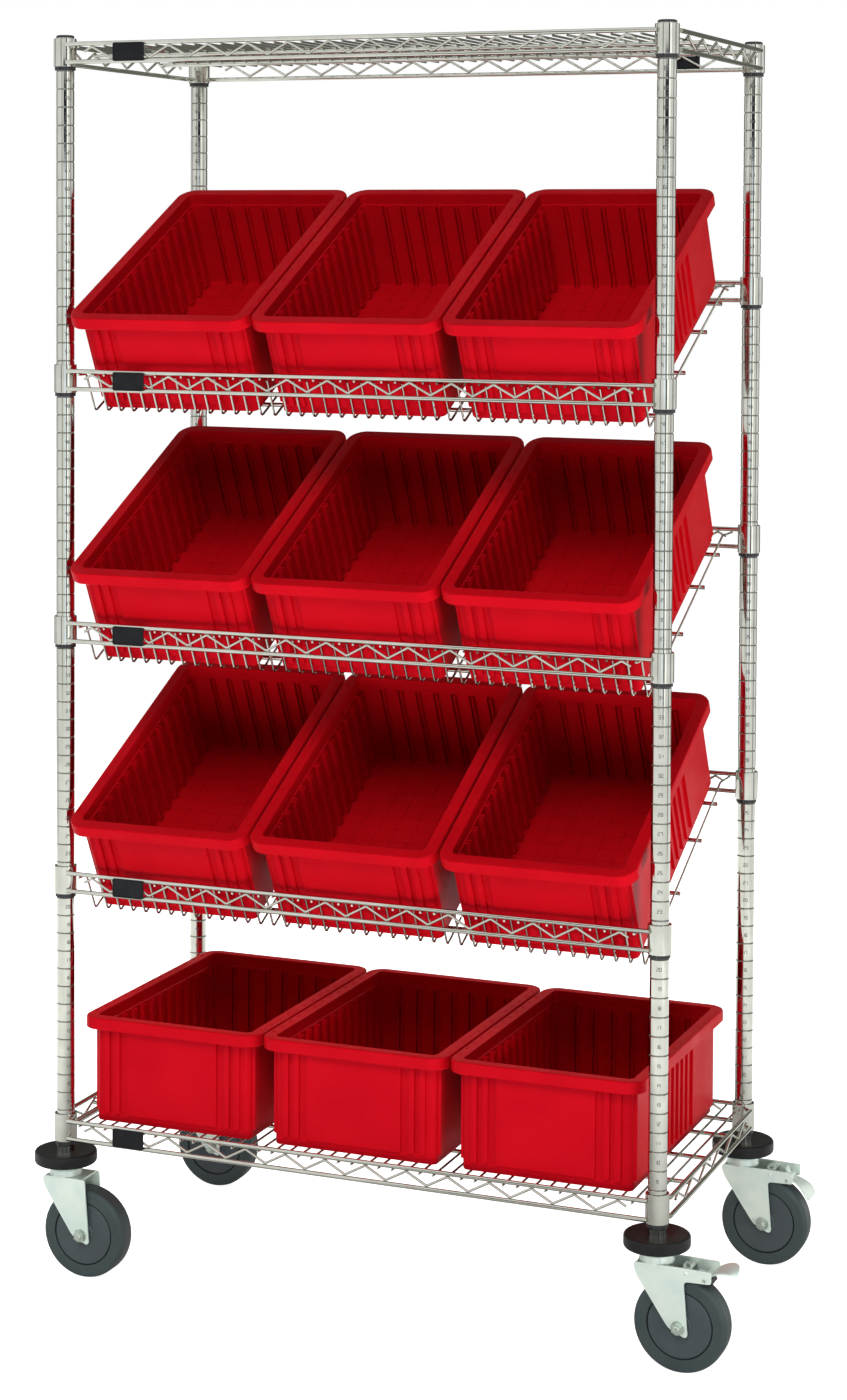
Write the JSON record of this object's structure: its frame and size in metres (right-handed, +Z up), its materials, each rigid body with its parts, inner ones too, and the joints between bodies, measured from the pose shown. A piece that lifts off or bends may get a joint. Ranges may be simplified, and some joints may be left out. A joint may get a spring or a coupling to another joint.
{
  "type": "mobile bin cart",
  "caption": "Mobile wire shelving cart with grooved posts, sloped and flat wire shelves, lift-out red plastic bins and swivel casters with pedal brakes.",
  "frame": {"origin": "on the floor, under the middle of the cart's box", "axes": "+Z up, +X to the right seen from the front, front of the cart toward -Y"},
  "size_m": [1.0357, 0.5098, 1.7591],
  "materials": {
    "chrome": "bright plated",
    "zinc": "zinc plated",
    "steel": "zinc plated fasteners",
    "black_plastic": "matt",
    "bumper_rubber": "satin",
    "red_plastic": "moulded satin gloss",
    "tyre_grey": "matt",
    "hub_grey": "moulded"
  },
  "bodies": {
    "frame": {"post_front_left": "chrome", "post_front_right": "chrome", "post_rear_right": "chrome", "post_rear_left": "chrome", "post_caps": "black_plastic", "split_sleeves": "black_plastic", "top_trusses": "chrome", "top_sides": "chrome", "top_deck": "chrome", "bottom_trusses": "chrome", "bottom_sides": "chrome", "bottom_deck": "chrome", "lower_front": "chrome", "lower_rear": "chrome", "lower_mat": "chrome", "lower_lip": "chrome", "middle_front": "chrome", "middle_rear": "chrome", "middle_mat": "chrome", "middle_lip": "chrome", "upper_front": "chrome", "upper_rear": "chrome", "upper_mat": "chrome", "upper_lip": "chrome", "label_plates": "black_plastic", "bumpers": "bumper_rubber", "caster_stems": "zinc"},
    "caster_fl": {"fork_fl": "zinc", "axle_fl": "steel"},
    "wheel_fl": {"hub_fl": "hub_grey", "tyre_fl": "tyre_grey"},
    "caster_fr": {"fork_fr": "zinc", "axle_fr": "steel"},
    "wheel_fr": {"hub_fr": "hub_grey", "tyre_fr": "tyre_grey"},
    "caster_rr": {"fork_rr": "zinc", "axle_rr": "steel"},
    "wheel_rr": {"hub_rr": "hub_grey", "tyre_rr": "tyre_grey"},
    "caster_rl": {"fork_rl": "zinc", "axle_rl": "steel"},
    "wheel_rl": {"hub_rl": "hub_grey", "tyre_rl": "tyre_grey"},
    "brake_fr": {"pedal_fr": "zinc", "shoe_fr": "black_plastic"},
    "brake_rr": {"pedal_rr": "zinc", "shoe_rr": "black_plastic"},
    "bin_bottom_left": {"bin_bottom_left": "red_plastic"},
    "bin_bottom_mid": {"bin_bottom_mid": "red_plastic"},
    "bin_bottom_right": {"bin_bottom_right": "red_plastic"},
    "bin_lower_left": {"bin_lower_left": "red_plastic"},
    "bin_lower_mid": {"bin_lower_mid": "red_plastic"},
    "bin_lower_right": {"bin_lower_right": "red_plastic"},
    "bin_middle_left": {"bin_middle_left": "red_plastic"},
    "bin_middle_mid": {"bin_middle_mid": "red_plastic"},
    "bin_middle_right": {"bin_middle_right": "red_plastic"},
    "bin_upper_left": {"bin_upper_left": "red_plastic"},
    "bin_upper_mid": {"bin_upper_mid": "red_plastic"},
    "bin_upper_right": {"bin_upper_right": "red_plastic"}
  },
  "joints": [
    {"name": "swivel_fl", "type": "hinge", "parent": "frame", "child": "caster_fl", "pos_m": [-0.47341, -0.20955, 0.159], "axis": [0, 0, 1], "continuous": true},
    {"name": "roll_fl", "type": "hinge", "parent": "caster_fl", "child": "wheel_fl", "pos_m": [-0.43741, -0.20955, 0.0635], "axis": [0, 1, 0], "continuous": true},
    {"name": "swivel_fr", "type": "hinge", "parent": "frame", "child": "caster_fr", "pos_m": [0.40659, -0.20955, 0.159], "axis": [0, 0, 1], "continuous": true},
    {"name": "roll_fr", "type": "hinge", "parent": "caster_fr", "child": "wheel_fr", "pos_m": [0.44259, -0.20955, 0.0635], "axis": [0, 1, 0], "continuous": true},
    {"name": "swivel_rr", "type": "hinge", "parent": "frame", "child": "caster_rr", "pos_m": [0.40659, 0.21045, 0.159], "axis": [0, 0, 1], "continuous": true},
    {"name": "roll_rr", "type": "hinge", "parent": "caster_rr", "child": "wheel_rr", "pos_m": [0.44259, 0.21045, 0.0635], "axis": [0, 1, 0], "continuous": true},
    {"name": "swivel_rl", "type": "hinge", "parent": "frame", "child": "caster_rl", "pos_m": [-0.47341, 0.21045, 0.159], "axis": [0, 0, 1], "continuous": true},
    {"name": "roll_rl", "type": "hinge", "parent": "caster_rl", "child": "wheel_rl", "pos_m": [-0.43741, 0.21045, 0.0635], "axis": [0, 1, 0], "continuous": true},
    {"name": "brake_pedal_fr", "type": "hinge", "parent": "caster_fr", "child": "brake_fr", "pos_m": [0.47759, -0.20955, 0.1305], "axis": [0, 1, 0], "range_deg": [0, 55]},
    {"name": "brake_pedal_rr", "type": "hinge", "parent": "caster_rr", "child": "brake_rr", "pos_m": [0.47759, 0.21045, 0.1305], "axis": [0, 1, 0], "range_deg": [-55, 0]},
    {"name": "bin_bottom_left_lift", "type": "slide", "parent": "frame", "child": "bin_bottom_left", "axis": [0, 0, 1], "range_m": [0, 0.12]},
    {"name": "bin_bottom_mid_lift", "type": "slide", "parent": "frame", "child": "bin_bottom_mid", "axis": [0, 0, 1], "range_m": [0, 0.12]},
    {"name": "bin_bottom_right_lift", "type": "slide", "parent": "frame", "child": "bin_bottom_right", "axis": [0, 0, 1], "range_m": [0, 0.12]},
    {"name": "bin_lower_left_lift", "type": "slide", "parent": "frame", "child": "bin_lower_left", "axis": [0, -0.4534, 0.8913], "range_m": [0, 0.14]},
    {"name": "bin_lower_mid_lift", "type": "slide", "parent": "frame", "child": "bin_lower_mid", "axis": [0, -0.4534, 0.8913], "range_m": [0, 0.14]},
    {"name": "bin_lower_right_lift", "type": "slide", "parent": "frame", "child": "bin_lower_right", "axis": [0, -0.4534, 0.8913], "range_m": [0, 0.14]},
    {"name": "bin_middle_left_lift", "type": "slide", "parent": "frame", "child": "bin_middle_left", "axis": [0, -0.4534, 0.8913], "range_m": [0, 0.14]},
    {"name": "bin_middle_mid_lift", "type": "slide", "parent": "frame", "child": "bin_middle_mid", "axis": [0, -0.4534, 0.8913], "range_m": [0, 0.14]},
    {"name": "bin_middle_right_lift", "type": "slide", "parent": "frame", "child": "bin_middle_right", "axis": [0, -0.4534, 0.8913], "range_m": [0, 0.14]},
    {"name": "bin_upper_left_lift", "type": "slide", "parent": "frame", "child": "bin_upper_left", "axis": [0, -0.4534, 0.8913], "range_m": [0, 0.14]},
    {"name": "bin_upper_mid_lift", "type": "slide", "parent": "frame", "child": "bin_upper_mid", "axis": [0, -0.4534, 0.8913], "range_m": [0, 0.14]},
    {"name": "bin_upper_right_lift", "type": "slide", "parent": "frame", "child": "bin_upper_right", "axis": [0, -0.4534, 0.8913], "range_m": [0, 0.14]}
  ]
}
